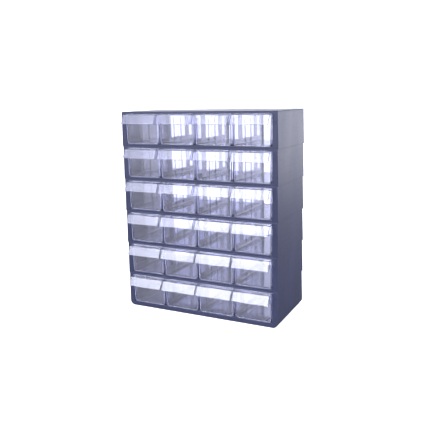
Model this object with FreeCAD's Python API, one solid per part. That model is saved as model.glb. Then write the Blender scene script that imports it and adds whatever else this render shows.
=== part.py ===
"""Parts organizer: a cabinet of stacked moulded tiers, each with a row of clear drawers.

Frame: +X to the right as the drawers are faced, +Y towards the open back, +Z up. The origin is
the middle of the whole footprint, pull lips included, on the surface that the cabinet stands on.

Every tier is an open-topped tray. Its front frame has one mouth per drawer, its side and back
walls lean out towards the foot, and the foot stands on the rim of the tier below, so each seam
shows as a small step. Lattice partitions part the cells. A drawer is a clear tub on two runners,
with a hooded pull lip along its top front edge and two ears that stop it behind the header.
"""
import FreeCAD, Part
import math
import os

# ---------------------------------------------------------------- driving dimensions, mm
COLUMNS = 4
TIERS = 6

# cells, as seen from the front
CELL_WIDTH = 70.0            # clear width of a cell's mouth
CELL_HEIGHT = 53.0           # clear height of a cell's mouth
PARTITION = 2.0              # thickness of a partition between two cells
SILL = 4.0                   # front bar below a mouth, from the tier's foot
HEADER = 4.5                 # front bar above a mouth, up to the tier's rim
STILE = 11.0                 # side bar of the front frame, at the tier's foot

# tier shell
CABINET_DEPTH = 140.0        # front face to back face, at a tier's foot
FLARE = 1.3                  # lean of the side and back walls, rim to foot
SIDE_WALL = 2.0
FLOOR = 2.0
FRONT_PLATE = 3.0
BACK_PLATE = 2.5
BACK_POST_WIDTH = 6.0        # back frame's bar behind each partition
BACK_HEADER = 5.0            # back frame's bar under the rim
EDGE_ROUND = 0.6             # rounded outer edges of the front frame
BAR_SETBACK = 2.0            # bars between the mouths stand this far behind the front face

# partition lattice, from front to back
GUIDE_HEIGHT = 15.0          # low wall that guides the drawers, from the tier's foot
TOP_BAND = 6.5               # bar above the windows
FRONT_BAR = 5.0
FRONT_WINDOW = 19.0
MIDDLE_BAR = 16.0
REAR_BAR = 14.0
REAR_WINDOW = 14.0
BACK_BAR = 18.0              # the long middle window takes what is left of the depth

# runners under each drawer
RUNNER_WIDTH = 2.5
RUNNER_INSET = 14.0          # mouth's edge to the middle of a runner
RUNNER_RISE = 0.3            # top of a runner above the sill

# corner posts that join the tiers
POST_SETBACK = 12.0          # post's axis from the front and back faces
POST_BITE = 0.3              # post merges this deep into guide and wall
PEG_RADIUS = 1.6
PEG_LENGTH = 3.0
PEG_CLEARANCE = 0.15
PEG_END_GAP = 0.5

# foot of the lowest tier
BASE_SKIRT = 4.5
BASE_ROUND = 10.0            # round along the two bottom side edges
BASE_RECESS = 3.0            # hollow of the underside
BASE_RIM = 12.0              # flat border round that hollow
BASE_RIB = 4.0

# top cover
COVER = 1.8
COVER_BORDER = 7.0
COVER_RECESS = 0.6
COVER_ROUND = 0.8

# drawer tub
SLIDE_GAP = 0.2              # runner to drawer floor
SIDE_GAP_TOP = 1.2           # mouth's edge to the tub's side, at its rim
SIDE_GAP_FOOT = 1.7          # the same at its floor
HEAD_GAP = 0.4               # top of the front plate to the header
REAR_GAP = 12.5              # tub's back face to the back frame, closed
TUB_WALL = 1.4
TUB_FLOOR = 1.6
TUB_ROUND = 5.0              # rounded bottom corners
TUB_RIM_DROP = 4.6           # tub's rim below the top of the front plate
BEAD_HEIGHT = 1.8
BEAD_OUT = 0.5
FRONT_THICKNESS = 1.8
FRONT_PROUD = 0.4            # front plate stands this far out of the cabinet's face
FRONT_RIM_WIDTH = 2.0        # raised rim round the front plate's sides and foot
FRONT_RIM_OUT = 0.5
FRONT_OVERHANG = 0.5         # front plate wider than the tub, each side

# divider slots in the tub's sides
SLOT_PLACES = (46.0, 72.0)   # middle of each slot from the cabinet's face
SLOT_WIDTH = 1.6
SLOT_RIB = 1.0
SLOT_RIB_OUT = 0.7
SLOT_RIB_DROP = 3.0          # ribs end this far below the tub's rim

# stop ears
EAR_SETBACK = 17.0           # front face of an ear from the tub's back face
EAR_LENGTH = 6.0
EAR_OVERLAP = 2.5            # ear reaches this far above the header's lower edge
STOP_GAP = 0.4

# pull lip
LIP_WIDTH = 69.4
LIP_WALL = 1.4
LEDGE_REACH = 10.2           # cabinet's face to the ledge's outer edge
LEDGE_RISE = 1.2             # ledge climbs this much towards its outer edge
LIP_REACH = 18.4             # cabinet's face to the lip's lower edge
LIP_DROP = 16.6              # ledge's outer edge down to the lip's lower edge
GUSSET_WALL = 1.4
GUSSET_CLIMB = 2.8           # gusset's lower edge climbs this much towards the front plate
UPSTAND_HEIGHT = 2.4         # low wall on the ledge that closes against the header
UPSTAND_GAP = 0.3

# ---------------------------------------------------------------- worked out from them
CELL_PITCH = CELL_WIDTH + PARTITION
TIER_PITCH = SILL + CELL_HEIGHT + HEADER
MOUTHS_HALF = (COLUMNS * CELL_WIDTH + (COLUMNS - 1) * PARTITION) / 2
HALF_FOOT = MOUTHS_HALF + STILE
HALF_RIM = HALF_FOOT - FLARE
FACE_Y = (LIP_REACH - CABINET_DEPTH) / 2
TUB_LENGTH = CABINET_DEPTH - BACK_PLATE - REAR_GAP
EAR_PLACE = TUB_LENGTH - EAR_SETBACK
DRAWER_TRAVEL = EAR_PLACE - FRONT_PLATE - STOP_GAP
GUIDE_OUTER = MOUTHS_HALF + PARTITION
POST_X = (GUIDE_OUTER + HALF_RIM - SIDE_WALL) / 2
POST_RADIUS = POST_X - GUIDE_OUTER + POST_BITE
DRAWER_FLOOR_Z = SILL + RUNNER_RISE + SLIDE_GAP
FRONT_TOP_Z = SILL + CELL_HEIGHT - HEAD_GAP
TUB_RIM_Z = FRONT_TOP_Z - TUB_RIM_DROP


def vec(x, y, z):
    return FreeCAD.Vector(x, y, z)


def block(x0, x1, y0, y1, z0, z1):
    return Part.makeBox(x1 - x0, y1 - y0, z1 - z0, vec(x0, y0, z0))


def cylinder(radius, height, x, y, z):
    return Part.makeCylinder(radius, height, vec(x, y, z))


def leaning_block(foot, rim, z0, z1):
    """A block whose foot and rim are two rectangles (x0, x1, y0, y1), joined by flat sides."""
    wires = []
    for (x0, x1, y0, y1), z in ((foot, z0), (rim, z1)):
        corners = [vec(x0, y0, z), vec(x1, y0, z), vec(x1, y1, z), vec(x0, y1, z), vec(x0, y0, z)]
        wires.append(Part.makePolygon(corners))
    return Part.makeLoft(wires, True, True)


def prism_along_x(outline, x0, x1):
    """A flat outline of (y, z) points drawn out from x0 to x1."""
    points = [vec(x0, y, z) for y, z in outline]
    return Part.Face(Part.makePolygon(points + points[:1])).extrude(vec(x1 - x0, 0, 0))


def edges_along(shape, axis, wanted):
    """Straight edges parallel to an axis (0, 1 or 2) whose middle passes the test."""
    found = []
    for edge in shape.Edges:
        if len(edge.Vertexes) != 2:
            continue
        run = edge.Vertexes[1].Point - edge.Vertexes[0].Point
        across = [abs(run[i]) for i in range(3) if i != axis]
        if max(across) < 1e-6 and wanted(edge.CenterOfMass):
            found.append(edge)
    return found


def fused(first, others):
    return first.multiFuse(others).removeSplitter()


# ---------------------------------------------------------------- housing tiers
def cell_middles():
    first = -(COLUMNS - 1) * CELL_PITCH / 2
    return [first + column * CELL_PITCH for column in range(COLUMNS)]


def partition_middles():
    first = -(COLUMNS - 2) * CELL_PITCH / 2
    return [first + index * CELL_PITCH for index in range(COLUMNS - 1)]


def post_centres():
    places = (POST_SETBACK, CABINET_DEPTH - POST_SETBACK)
    return [(side * POST_X, y) for side in (-1, 1) for y in places]


def tier_shell():
    """Front frame, leaning side and back walls, and floor, with every opening cut."""
    foot = (-HALF_FOOT, HALF_FOOT, 0, CABINET_DEPTH)
    rim = (-HALF_RIM, HALF_RIM, 0, CABINET_DEPTH - FLARE)
    shell = leaning_block(foot, rim, 0, TIER_PITCH)
    front_edges = [edge for edge in shell.Edges if abs(edge.CenterOfMass.y) < 1e-6
                   and abs(edge.CenterOfMass.z - TIER_PITCH / 2) < 1]
    shell = shell.makeFillet(EDGE_ROUND, front_edges)

    inner_foot = (-HALF_FOOT + SIDE_WALL, HALF_FOOT - SIDE_WALL, FRONT_PLATE,
                  CABINET_DEPTH - BACK_PLATE)
    inner_rim = (-HALF_RIM + SIDE_WALL, HALF_RIM - SIDE_WALL, FRONT_PLATE,
                 CABINET_DEPTH - FLARE - BACK_PLATE)
    hollow = leaning_block(inner_foot, inner_rim, 0, TIER_PITCH)
    hollow = hollow.cut(block(-HALF_FOOT, HALF_FOOT, 0, CABINET_DEPTH, -1, FLOOR))
    cuts = [hollow]
    for x in cell_middles():
        mouth = CELL_WIDTH / 2
        cuts.append(block(x - mouth, x + mouth, -1, FRONT_PLATE + 1, SILL, SILL + CELL_HEIGHT))
        rear = (CELL_PITCH - BACK_POST_WIDTH) / 2
        cuts.append(block(x - rear, x + rear, CABINET_DEPTH - FLARE - BACK_PLATE - 1,
                          CABINET_DEPTH + 1, SILL, TIER_PITCH - BACK_HEADER))
    for x in partition_middles():
        half = PARTITION / 2
        cuts.append(block(x - half, x + half, -1, BAR_SETBACK, SILL, SILL + CELL_HEIGHT))
    return shell.cut(Part.makeCompound(cuts))


def lattice(x):
    """One partition with its three windows, behind the front frame's bar."""
    back = CABINET_DEPTH - FLARE
    half = PARTITION / 2
    plate = block(x - half, x + half, BAR_SETBACK, back, 0, TIER_PITCH)
    front = (FRONT_BAR, FRONT_BAR + FRONT_WINDOW)
    middle = (front[1] + MIDDLE_BAR, CABINET_DEPTH - BACK_BAR - REAR_WINDOW - REAR_BAR)
    rear = (CABINET_DEPTH - BACK_BAR - REAR_WINDOW, CABINET_DEPTH - BACK_BAR)
    top = TIER_PITCH - TOP_BAND
    windows = [block(x - half - 1, x + half + 1, y0, y1, GUIDE_HEIGHT, top)
               for y0, y1 in (front, middle, rear)]
    return plate.cut(Part.makeCompound(windows))


def side_guide(side):
    inner = side * MOUTHS_HALF
    outer = side * GUIDE_OUTER
    return block(min(inner, outer), max(inner, outer), 0, CABINET_DEPTH - BACK_PLATE / 2,
                 0, GUIDE_HEIGHT)


def runners(x):
    reach = CELL_WIDTH / 2 - RUNNER_INSET
    half = RUNNER_WIDTH / 2
    return [block(x + side * reach - half, x + side * reach + half, FRONT_PLATE / 2,
                  CABINET_DEPTH - BACK_PLATE / 2, 0, SILL + RUNNER_RISE) for side in (-1, 1)]


def base_skirt():
    """What the lowest tier has below its floor: a skirt, ribs and a hollow underside."""
    skirt = block(-HALF_FOOT, HALF_FOOT, 0, CABINET_DEPTH, -BASE_SKIRT, 0)
    front_edges = edges_along(skirt, 2, lambda middle: middle.y < 1e-6)
    skirt = skirt.makeFillet(EDGE_ROUND, front_edges)
    recess = block(-HALF_FOOT + BASE_RIM, HALF_FOOT - BASE_RIM, BASE_RIM, CABINET_DEPTH - BASE_RIM,
                   -BASE_SKIRT, BASE_RECESS - BASE_SKIRT)
    half = BASE_RIB / 2
    ribs = [block(x - half, x + half, 0, CABINET_DEPTH, -BASE_SKIRT, 0)
            for x in partition_middles()]
    ribs.append(block(-HALF_FOOT, HALF_FOOT, -FACE_Y - half, -FACE_Y + half, -BASE_SKIRT, 0))
    return skirt.cut(recess.cut(Part.makeCompound(ribs)))


def base_corner(side):
    """The sliver outside the round of a bottom side edge, which is cut away."""
    r = BASE_ROUND
    x0 = side * (HALF_FOOT - r)
    corner = block(min(x0, side * (HALF_FOOT + 1)), max(x0, side * (HALF_FOOT + 1)),
                   -1, CABINET_DEPTH + 1, -BASE_SKIRT - 1, r - BASE_SKIRT)
    drum = Part.makeCylinder(r, CABINET_DEPTH + 4, vec(x0, -2, r - BASE_SKIRT), vec(0, 1, 0))
    return corner.cut(drum)


def tier(index):
    """A whole tier in its own frame: foot at z = 0, cabinet face at y = 0."""
    lowest = index == 0
    highest = index == TIERS - 1
    pieces = [lattice(x) for x in partition_middles()]
    pieces += [side_guide(side) for side in (-1, 1)]
    for x in cell_middles():
        pieces += runners(x)
    pieces += [cylinder(POST_RADIUS, TIER_PITCH, x, y, 0) for x, y in post_centres()]
    if lowest:
        pieces.append(base_skirt())
    else:
        sockets = [cylinder(PEG_RADIUS + PEG_CLEARANCE, PEG_LENGTH + PEG_END_GAP, x, y, 0)
                   for x, y in post_centres()]
    if not highest:
        pieces += [cylinder(PEG_RADIUS, TIER_PITCH / 2 + PEG_LENGTH, x, y, TIER_PITCH / 2)
                   for x, y in post_centres()]
    body = fused(tier_shell(), pieces)
    if lowest:
        body = body.cut(Part.makeCompound([base_corner(side) for side in (-1, 1)]))
    else:
        body = body.cut(Part.makeCompound(sockets))
    if highest:
        depth = PEG_LENGTH + PEG_END_GAP
        wells = [cylinder(PEG_RADIUS + PEG_CLEARANCE, depth, x, y, TIER_PITCH - depth)
                 for x, y in post_centres()]
        body = body.cut(Part.makeCompound(wells))
    return body


def top_cover():
    """Flat cover on the highest tier, foot at z = 0: shallow tray above, four pegs below."""
    back = CABINET_DEPTH - FLARE
    plate = block(-HALF_RIM, HALF_RIM, 0, back, 0, COVER)
    top_edges = [edge for edge in plate.Edges if edge.BoundBox.ZMin > COVER - 1e-6]
    plate = plate.makeFillet(COVER_ROUND, top_edges)
    border = COVER_BORDER
    tray = block(-HALF_RIM + border, HALF_RIM - border, border, back - border,
                 COVER - COVER_RECESS, COVER + 1)
    pegs = [cylinder(PEG_RADIUS, PEG_LENGTH + COVER / 2, x, y, -PEG_LENGTH)
            for x, y in post_centres()]
    return fused(plate.cut(tray), pegs)


# ---------------------------------------------------------------- drawers
def tub_half_width(z):
    """Half width of the tub's outside at a height: its sides lean out towards the rim."""
    foot = CELL_WIDTH / 2 - SIDE_GAP_FOOT
    rim = CELL_WIDTH / 2 - SIDE_GAP_TOP
    return foot + (rim - foot) * (z - DRAWER_FLOOR_Z) / (TUB_RIM_Z - DRAWER_FLOOR_Z)


def tub_block(inset, z0, z1, y0, y1, corner):
    """A block with the tub's leaning sides moved in by an inset, its bottom edges rounded."""
    low = tub_half_width(z0) - inset
    high = tub_half_width(z1) - inset
    points = [vec(-low, y0, z0), vec(low, y0, z0), vec(high, y0, z1), vec(-high, y0, z1)]
    solid = Part.Face(Part.makePolygon(points + points[:1])).extrude(vec(0, y1 - y0, 0))
    bottom = edges_along(solid, 1, lambda middle: abs(middle.z - z0) < 1e-6)
    return solid.makeFillet(corner, bottom)


def side_prisms(x_inner, x_outer, y0, y1, z0, z1):
    """A block on the right and its mirror image on the left."""
    return [block(x_inner, x_outer, y0, y1, z0, z1), block(-x_outer, -x_inner, y0, y1, z0, z1)]


def slot_ribs(inside):
    """The ribs that hold a divider, trimmed to the tub's sides and clear of its floor's round."""
    reach = tub_half_width(TUB_RIM_Z)
    ribs = []
    for place in SLOT_PLACES:
        for side in (-1, 1):
            y = place + side * (SLOT_WIDTH + SLOT_RIB) / 2
            ribs.append(block(-reach, reach, y - SLOT_RIB / 2, y + SLOT_RIB / 2,
                              DRAWER_FLOOR_Z + TUB_FLOOR / 2, TUB_RIM_Z - SLOT_RIB_DROP))
    clear = tub_block(TUB_WALL + SLOT_RIB_OUT, DRAWER_FLOOR_Z + TUB_FLOOR,
                      TUB_RIM_Z + 1, 0, TUB_LENGTH, TUB_ROUND - TUB_WALL - SLOT_RIB_OUT)
    return Part.makeCompound(ribs).common(inside).cut(clear)


def mitred_strip(path, wall):
    """Outline of a bent plate: a path of (y, z) points and its copy offset to the left."""
    normals = []
    for (y0, z0), (y1, z1) in zip(path, path[1:]):
        run = math.hypot(y1 - y0, z1 - z0)
        normals.append((-(z1 - z0) / run, (y1 - y0) / run))
    inner = []
    for index, (y, z) in enumerate(path):
        before = normals[max(index - 1, 0)]
        after = normals[min(index, len(normals) - 1)]
        scale = wall / (1 + before[0] * after[0] + before[1] * after[1])
        inner.append((y + (before[0] + after[0]) * scale, z + (before[1] + after[1]) * scale))
    return path + inner[::-1]


def front_rim():
    """Raised rim along the sides and foot of the front plate, up to the ledge."""
    face = -FRONT_PROUD
    outer = tub_block(-FRONT_OVERHANG, DRAWER_FLOOR_Z, FRONT_TOP_Z, face - FRONT_RIM_OUT,
                      face + FRONT_THICKNESS / 2, TUB_ROUND)
    inner = tub_block(FRONT_RIM_WIDTH - FRONT_OVERHANG, DRAWER_FLOOR_Z + FRONT_RIM_WIDTH,
                      FRONT_TOP_Z + 1, face - FRONT_RIM_OUT, face + FRONT_THICKNESS / 2,
                      TUB_ROUND - FRONT_RIM_WIDTH)
    return outer.cut(inner)


def pull_lip():
    """Ledge, slanting lip, end gussets and the upstand that closes against the header."""
    root = (-FRONT_PROUD + LIP_WALL / 2, FRONT_TOP_Z)
    edge = (-LEDGE_REACH, FRONT_TOP_Z + LEDGE_RISE)
    hem = (-LIP_REACH, FRONT_TOP_Z + LEDGE_RISE - LIP_DROP)
    half = LIP_WIDTH / 2
    pieces = [prism_along_x(mitred_strip([root, edge, hem], LIP_WALL), -half, half)]
    gusset = [root, edge, hem, (root[0], hem[1] + GUSSET_CLIMB)]
    for x0 in (-half, half - GUSSET_WALL):
        pieces.append(prism_along_x(gusset, x0, x0 + GUSSET_WALL))
    pieces.append(block(-half, half, -UPSTAND_GAP - LIP_WALL, -UPSTAND_GAP,
                        FRONT_TOP_Z - LIP_WALL / 2, FRONT_TOP_Z + UPSTAND_HEIGHT))
    return pieces


def drawer():
    """One clear drawer: cell's middle at x = 0, cabinet face at y = 0, tier's foot at z = 0."""
    tub = tub_block(0, DRAWER_FLOOR_Z, TUB_RIM_Z, 0, TUB_LENGTH, TUB_ROUND)
    front_back = FRONT_THICKNESS - FRONT_PROUD
    inside = tub_block(TUB_WALL, DRAWER_FLOOR_Z + TUB_FLOOR, TUB_RIM_Z + 1, front_back,
                       TUB_LENGTH - TUB_WALL, TUB_ROUND - TUB_WALL)
    hollow_tub = tub.cut(inside)
    front = tub_block(-FRONT_OVERHANG, DRAWER_FLOOR_Z, FRONT_TOP_Z, -FRONT_PROUD, front_back,
                      TUB_ROUND)
    pieces = [front, front_rim()] + pull_lip()
    rim = tub_half_width(TUB_RIM_Z)
    pieces += side_prisms(rim - TUB_WALL, rim + BEAD_OUT, front_back / 2, TUB_LENGTH,
                          TUB_RIM_Z - BEAD_HEIGHT, TUB_RIM_Z)
    ear_top = SILL + CELL_HEIGHT + EAR_OVERLAP
    pieces += side_prisms(rim - TUB_WALL, rim, EAR_PLACE, EAR_PLACE + EAR_LENGTH,
                          TUB_RIM_Z - BEAD_HEIGHT, ear_top)
    pieces += slot_ribs(tub).Solids
    return fused(hollow_tub, pieces)


# ---------------------------------------------------------------- the whole cabinet
def placed(shape, x, z):
    moved = shape.copy()
    moved.translate(vec(x, FACE_Y, z))
    return moved


def assembly():
    """Node name to solid, in the cabinet's own frame."""
    nodes = {}
    one_drawer = drawer()
    for index in range(TIERS):
        foot = BASE_SKIRT + index * TIER_PITCH
        nodes[f"tier_{index + 1}"] = placed(tier(index), 0, foot)
        for column, x in enumerate(cell_middles()):
            nodes[f"drawer_t{index + 1}_c{column + 1}"] = placed(one_drawer, x, foot)
    nodes["top_cover"] = placed(top_cover(), 0, BASE_SKIRT + TIERS * TIER_PITCH)
    return nodes


os.makedirs("parts", exist_ok=True)
for node, shape in assembly().items():
    if not shape.isValid() or len(shape.Solids) != 1:
        raise RuntimeError(f"{node} is not one valid solid: {len(shape.Solids)} solids")
    shape.Solids[0].exportStep(f"parts/{node}.step")
    box = shape.BoundBox
    print(f"{node:16s} x {box.XMin:8.2f} {box.XMax:8.2f}  y {box.YMin:8.2f} {box.YMax:8.2f}"
          f"  z {box.ZMin:8.2f} {box.ZMax:8.2f}  volume {shape.Volume / 1000:8.1f} cm3")
print(f"drawer travel {DRAWER_TRAVEL:.1f} mm")
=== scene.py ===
"""Looks of a clear-drawer parts organizer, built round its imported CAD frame.

The cabinet is a stack of moulded tiers under a flat cover, with four clear drawers to a tier.
Every visible piece is worked out here in millimetres as surfaces on grids, turned into metres
when its mesh is made, and rides on the CAD body that it belongs to.
"""
import logging
import math
from collections.abc import Callable
from dataclasses import dataclass, field
from enum import Enum

import bmesh
import bpy
import numpy as np
from mathutils import Matrix, Vector


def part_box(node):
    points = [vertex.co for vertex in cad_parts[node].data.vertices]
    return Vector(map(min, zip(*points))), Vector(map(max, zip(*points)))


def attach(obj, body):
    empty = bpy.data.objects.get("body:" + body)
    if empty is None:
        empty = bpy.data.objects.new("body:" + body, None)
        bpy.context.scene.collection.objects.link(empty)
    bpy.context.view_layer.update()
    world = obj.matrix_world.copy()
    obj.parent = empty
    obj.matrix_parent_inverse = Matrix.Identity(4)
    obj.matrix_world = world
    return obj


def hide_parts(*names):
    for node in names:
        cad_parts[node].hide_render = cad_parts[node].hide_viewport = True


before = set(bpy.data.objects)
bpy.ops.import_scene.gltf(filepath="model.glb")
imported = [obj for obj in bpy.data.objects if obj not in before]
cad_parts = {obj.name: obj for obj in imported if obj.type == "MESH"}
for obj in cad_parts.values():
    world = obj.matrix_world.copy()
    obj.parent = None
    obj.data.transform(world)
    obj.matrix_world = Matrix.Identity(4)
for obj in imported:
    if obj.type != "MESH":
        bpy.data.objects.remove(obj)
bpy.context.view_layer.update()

Colour = tuple[float, float, float, float]
Pair = tuple[float, float]
Triple = tuple[float, float, float]
Array = np.ndarray
Place = Callable[[Array], Array]
Mesh, Piece = bpy.types.Mesh, bpy.types.Object
Material, Tree, Socket = bpy.types.Material, bpy.types.NodeTree, bpy.types.NodeSocket

log = logging.getLogger("parts_organizer")
MM = 0.001
WELD = 2e-4
NEAR = 0.01
QUARTER = math.pi / 2
WHITE: Colour = (1.0, 1.0, 1.0, 1.0)


class Slot(Enum):
    """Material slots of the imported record."""

    HOUSING = "housing"
    DRAWER = "drawer"


# ---------------------------------------------------------------- surfaces on grids
class ClosedMesh:
    """Closed surfaces gathered into one mesh. Points are kept in millimetres."""

    def __init__(self) -> None:
        """Start with no surfaces."""
        self.points: list[Array] = []
        self.faces: list[list[int]] = []
        self.count = 0

    def add_grid(self, grid: Array, caps: bool = True, wrap: bool = True) -> None:
        """Add the surface through a grid of points.

        Args:
            grid: Array (rows, columns, 3). Rows are rings along the shape.
            caps: Close the first and the last ring with one flat face each.
            wrap: Join the last column to the first.
        """
        index = self.count + np.arange(grid[..., 0].size).reshape(grid.shape[:2])
        self.points.append(grid.reshape(-1, 3))
        self.count += index.size
        right = np.roll(index, -1, axis=1)
        quads = np.stack([index[:-1], right[:-1], right[1:], index[1:]], axis=-1)
        if not wrap:
            quads = quads[:, :-1]
        self.faces += quads.reshape(-1, 4).tolist()
        if caps:
            self.faces.append(index[0, ::-1].tolist())
            self.faces.append(index[-1].tolist())

    def to_data(self, name: str, origin: Array, warp: Place | None = None) -> Mesh:
        """Weld the surfaces into Blender mesh data, in metres, with faces outward.

        Args:
            name: Name of the mesh data.
            origin: Where the surfaces' own origin goes, in millimetres.
            warp: Function that shifts points before they are moved to the origin.

        Returns:
            The mesh data.
        """
        points = np.concatenate(self.points)
        if warp is not None:
            points = warp(points)
        data = bpy.data.meshes.new(name)
        data.from_pydata(((points + origin) * MM).tolist(), [], self.faces)
        return cleaned(data)


def cleaned(data: Mesh) -> Mesh:
    """Merge doubled points, drop faces without area and turn the faces outward.

    Args:
        data: Mesh data, changed in place.

    Returns:
        The same mesh data.
    """
    tidy = bmesh.new()
    tidy.from_mesh(data)
    bmesh.ops.remove_doubles(tidy, verts=tidy.verts, dist=WELD * MM)
    bmesh.ops.dissolve_degenerate(tidy, edges=tidy.edges, dist=WELD * MM)
    bmesh.ops.recalc_face_normals(tidy, faces=tidy.faces)
    tidy.to_mesh(data)
    tidy.free()
    return data


def linked(name: str, data: bpy.types.ID) -> Piece:
    """Make an object of some data and link it to the scene."""
    piece = bpy.data.objects.new(name, data)
    bpy.context.scene.collection.objects.link(piece)
    return piece


def shown(data: Mesh, sharp_degrees: float = 50.0) -> Piece:
    """Make an object of finished mesh data, smooth over its small rounds and flat elsewhere.

    Args:
        data: Its mesh data, already in place, whose name it takes.
        sharp_degrees: Edges that turn more than this stay sharp.

    Returns:
        The linked object.
    """
    data.shade_smooth()
    data.set_sharp_from_angle(angle=math.radians(sharp_degrees))
    piece = linked(data.name, data)
    flats = piece.modifiers.new("flat_faces_stay_flat", "WEIGHTED_NORMAL")
    flats.keep_sharp = True
    flats.weight = 100
    return piece


def arc_angles(steps: int) -> Array:
    """Angles over a quarter turn, in even steps."""
    return np.linspace(0, QUARTER, steps + 1)


def stacked(plan: Array, height: Array) -> Array:
    """Give each row of a plan, array (rows, points, 2), its height as a third coordinate."""
    rise = np.broadcast_to(height[:, None, None], plan.shape[:2] + (1,))
    return np.concatenate([plan, rise], axis=-1)


def at_depth(rows: list[tuple[Array, float]]) -> Array:
    """Stack flat loops, each with its own depth as third coordinate."""
    return stacked(np.stack([flat for flat, _ in rows]), np.array([h for _, h in rows]))


def ring_rows(half_x: Array, low_y: Array, high_y: Array, radius: Array, arc: int,
              side_stations: Array = np.array([])) -> Array:
    """Rounded rectangles, one to a row, with the same number of points in each.

    The corner points are centre + radius * (cos a, sin a) over a quarter turn; the two sides
    along y have further points at given places along y.

    Args:
        half_x: Half width of each row's rectangle.
        low_y: Front side of each row's rectangle.
        high_y: Back side of each row's rectangle.
        radius: Corner radius of each row.
        arc: Steps in each corner.
        side_stations: Places along y, ascending, of the extra points on both sides.

    Returns:
        Array (rows, points, 2), anticlockwise from the front side's right end.
    """
    turn = arc_angles(arc)
    blocks = []
    for quarter, (sx, y_side) in enumerate(((1, low_y), (1, high_y), (-1, high_y), (-1, low_y))):
        angle = turn + (quarter - 1) * QUARTER
        inward = 1 if quarter in (0, 3) else -1
        centre_x = sx * (half_x - radius)
        centre_y = y_side + inward * radius
        x = centre_x[:, None] + radius[:, None] * np.cos(angle)
        y = centre_y[:, None] + radius[:, None] * np.sin(angle)
        blocks.append(np.stack([x, y], axis=-1))
        if quarter in (0, 2) and len(side_stations):
            places = side_stations if quarter == 0 else side_stations[::-1]
            x = np.repeat(sx * half_x[:, None], len(places), axis=1)
            y = np.repeat(places[None, :], len(half_x), axis=0)
            blocks.append(np.stack([x, y], axis=-1))
    return np.concatenate(blocks, axis=1)


def rounded_bar(low: Triple, high: Triple, edge: float = 0.3, corner: float = 0.4,
                steps: int = 3) -> Array:
    """A block with rounded edges: rounded rectangles stacked along z.

    Near each end the rectangle shrinks by edge * (1 - sin a) while its height moves by
    edge * (1 - cos a), which is a quarter circle.

    Args:
        low: Lowest corner.
        high: Highest corner.
        edge: Radius of the top and bottom edges.
        corner: Radius of the upright edges.
        steps: Steps in each quarter circle.

    Returns:
        Grid (rows, columns, 3).
    """
    turn = arc_angles(steps)
    ease, rise = edge * (1 - np.sin(turn)), edge * (1 - np.cos(turn))
    inset = np.concatenate([ease, ease[::-1]])
    height = np.concatenate([low[2] + rise, high[2] - rise[::-1]])
    half_x = (high[0] - low[0]) / 2 - inset
    radius = np.maximum(corner - inset, 0.05)
    plan = ring_rows(half_x, low[1] + inset, high[1] - inset, radius, steps)
    plan[..., 0] += (high[0] + low[0]) / 2
    return stacked(plan, height)


def turned(profile: list[Pair], x: float, y: float, sides: int = 20) -> Array:
    """A shape turned about an upright axis: circles with the profile's radii and heights.

    Args:
        profile: Pairs of radius and height, from one end to the other.
        x: Axis place.
        y: Axis place.
        sides: Points in each circle.

    Returns:
        Grid (rows, sides, 3).
    """
    radii, heights = np.array(profile).T
    angle = np.arange(sides) * math.tau / sides
    plan = np.stack([x + radii[:, None] * np.cos(angle), y + radii[:, None] * np.sin(angle)], -1)
    return stacked(plan, heights)


def outline_along(outline: Array, start: float, end: float, axis: int, soft: float = 0.0
                  ) -> Array:
    """A closed flat outline carried along an axis, with its end edges eased.

    Each ring is the outline; the end rings are drawn in towards the outline's own inside by
    the softening, along its point normals.

    Args:
        outline: Array (n, 2) of points in the plane across the axis.
        start: First end along the axis.
        end: Last end along the axis.
        axis: 0 for x (outline in y, z) or 1 for y (outline in x, z).
        soft: Size of the eased end edges.

    Returns:
        Grid (rows, n, 3).
    """
    after = np.roll(outline, -1, axis=0) - outline
    before = outline - np.roll(outline, 1, axis=0)
    along = after / np.linalg.norm(after, axis=1)[:, None]
    along += before / np.linalg.norm(before, axis=1)[:, None]
    along /= np.linalg.norm(along, axis=1)[:, None]
    area = np.sum(outline[:, 0] * np.roll(outline[:, 1], -1)
                  - np.roll(outline[:, 0], -1) * outline[:, 1])
    inward = np.stack([-along[:, 1], along[:, 0]], axis=1) * math.copysign(1, area)
    places = np.array([start, start + soft, end - soft, end] if soft else [start, end])
    shift = np.array([soft, 0, 0, soft] if soft else [0, 0])
    grid = stacked(outline[None] + inward[None] * shift[:, None, None], places)
    return grid[..., [2, 0, 1] if axis == 0 else [0, 2, 1]]


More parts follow.
